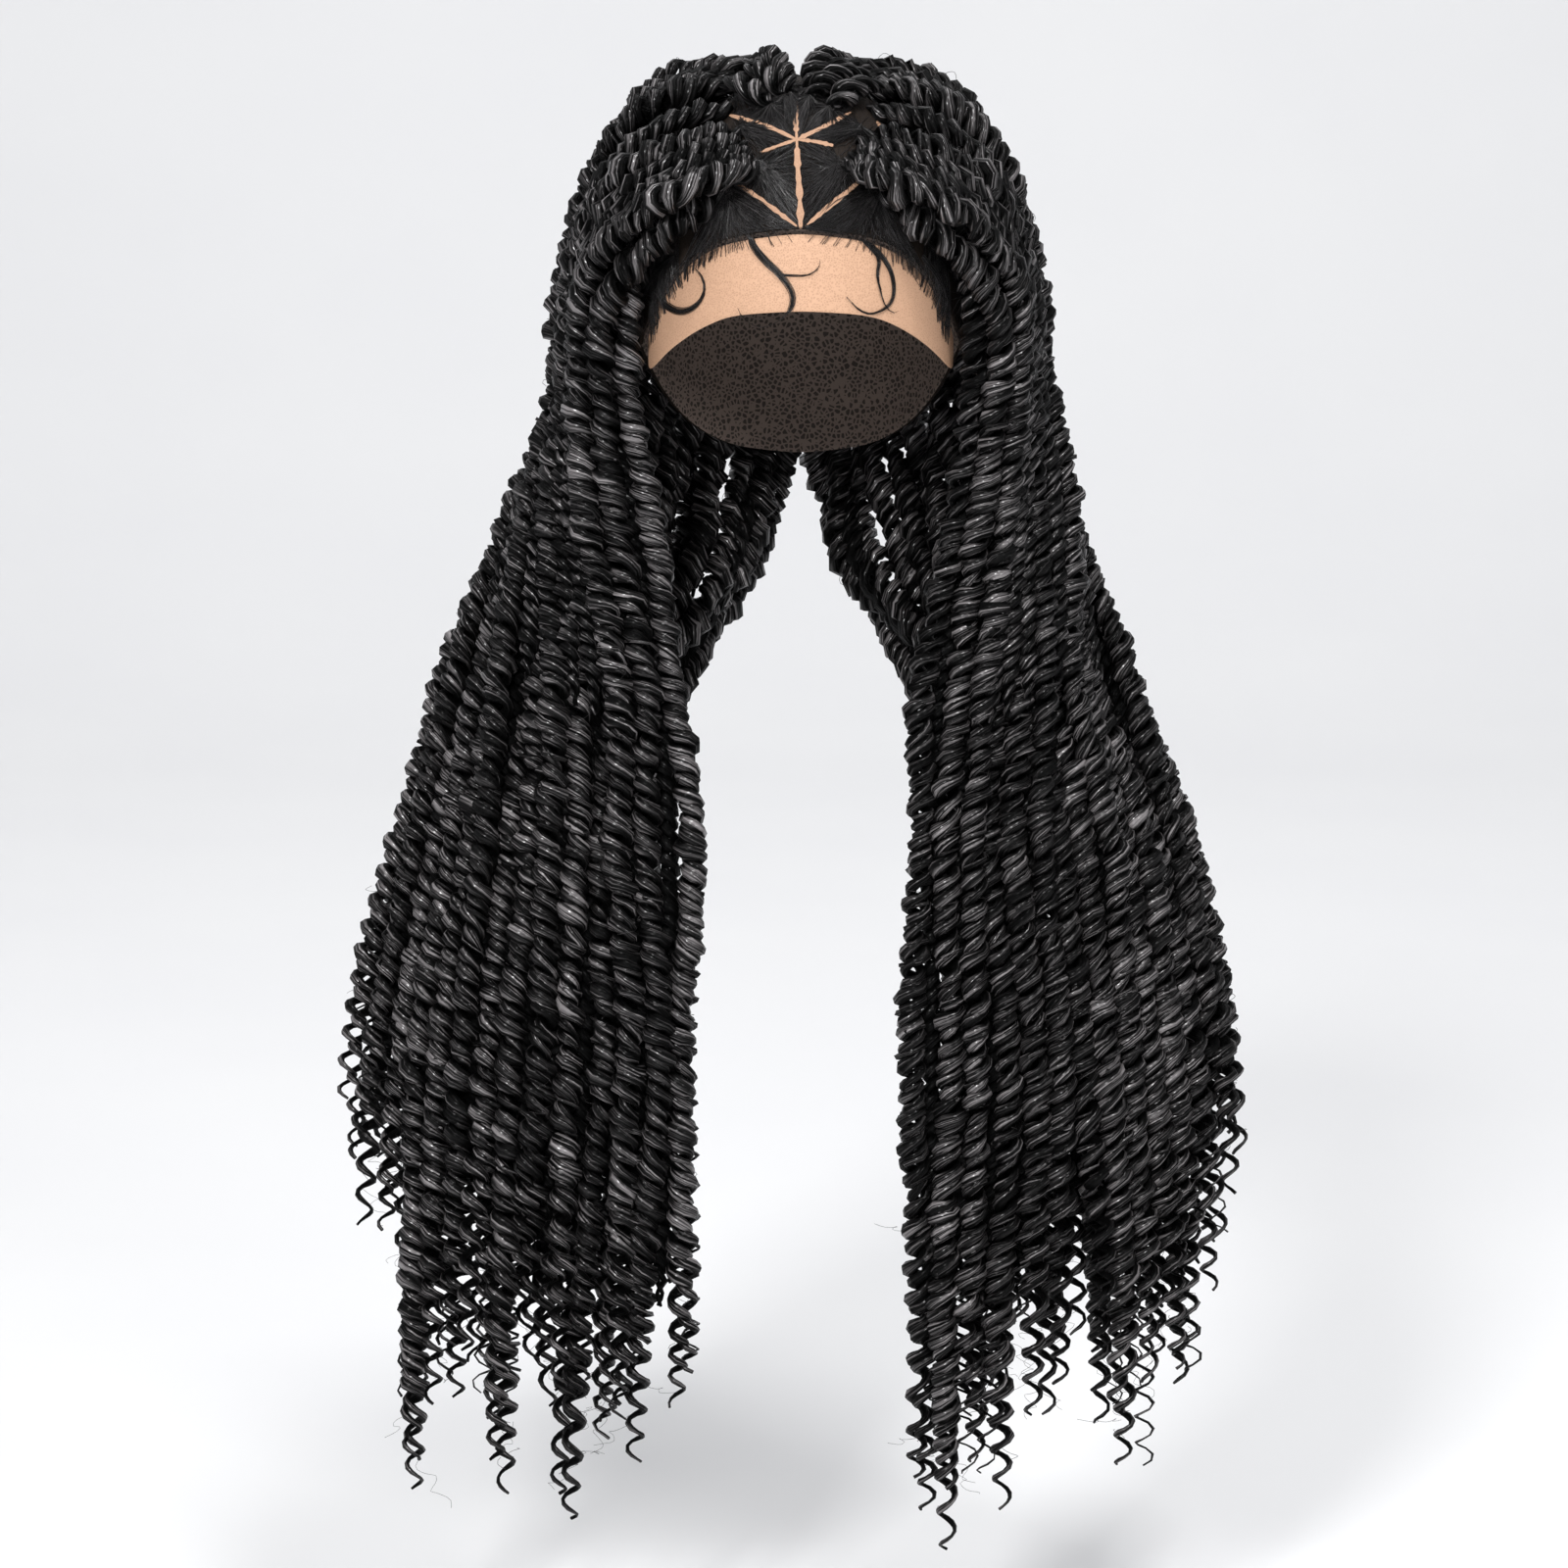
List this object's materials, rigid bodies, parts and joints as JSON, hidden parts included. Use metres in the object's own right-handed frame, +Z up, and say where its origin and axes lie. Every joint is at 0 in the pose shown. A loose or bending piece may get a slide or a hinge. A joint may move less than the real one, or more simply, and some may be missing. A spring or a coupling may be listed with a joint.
{
  "type": "braid wig",
  "caption": "Long two-strand twist wig on a lace cap with a bare lace front, its twists brought forward over both shoulders, with loose curly ends.",
  "frame": {"origin": "inside of the cap at the crown, the highest point of the head that wears it", "axes": "+Z up, -Y the way the face looks, +X towards the wearer's left"},
  "size_m": [0.4158, 0.2516, 0.6808],
  "materials": {
    "cap_net": "dark brown stretch net",
    "skin_lace": "fine skin-coloured lace",
    "hair": "soft black synthetic hair fibre, slightly glossy"
  },
  "bodies": {
    "root": {"lace_cap": "cap_net", "lace_front": "skin_lace", "scalp_hair": "hair", "twist_left_01": "hair", "twist_left_02": "hair", "twist_left_03": "hair", "twist_left_04": "hair", "twist_left_05": "hair", "twist_left_06": "hair", "twist_left_07": "hair", "twist_left_08": "hair", "twist_left_09": "hair", "twist_left_10": "hair", "twist_left_11": "hair", "twist_left_12": "hair", "twist_left_13": "hair", "twist_left_14": "hair", "twist_left_15": "hair", "twist_left_16": "hair", "twist_left_17": "hair", "twist_left_18": "hair", "twist_left_19": "hair", "twist_left_20": "hair", "twist_left_21": "hair", "twist_left_22": "hair", "twist_left_23": "hair", "twist_left_24": "hair", "twist_left_25": "hair", "twist_left_26": "hair", "twist_left_27": "hair", "twist_left_28": "hair", "twist_right_01": "hair", "twist_right_02": "hair", "twist_right_03": "hair", "twist_right_04": "hair", "twist_right_05": "hair", "twist_right_06": "hair", "twist_right_07": "hair", "twist_right_08": "hair", "twist_right_09": "hair", "twist_right_10": "hair", "twist_right_11": "hair", "twist_right_12": "hair", "twist_right_13": "hair", "twist_right_14": "hair", "twist_right_15": "hair", "twist_right_16": "hair", "twist_right_17": "hair", "twist_right_18": "hair", "twist_right_19": "hair", "twist_right_20": "hair", "twist_right_21": "hair", "twist_right_22": "hair", "twist_right_23": "hair", "twist_right_24": "hair", "twist_right_25": "hair", "twist_right_26": "hair", "twist_right_27": "hair", "twist_right_28": "hair"}
  },
  "joints": []
}
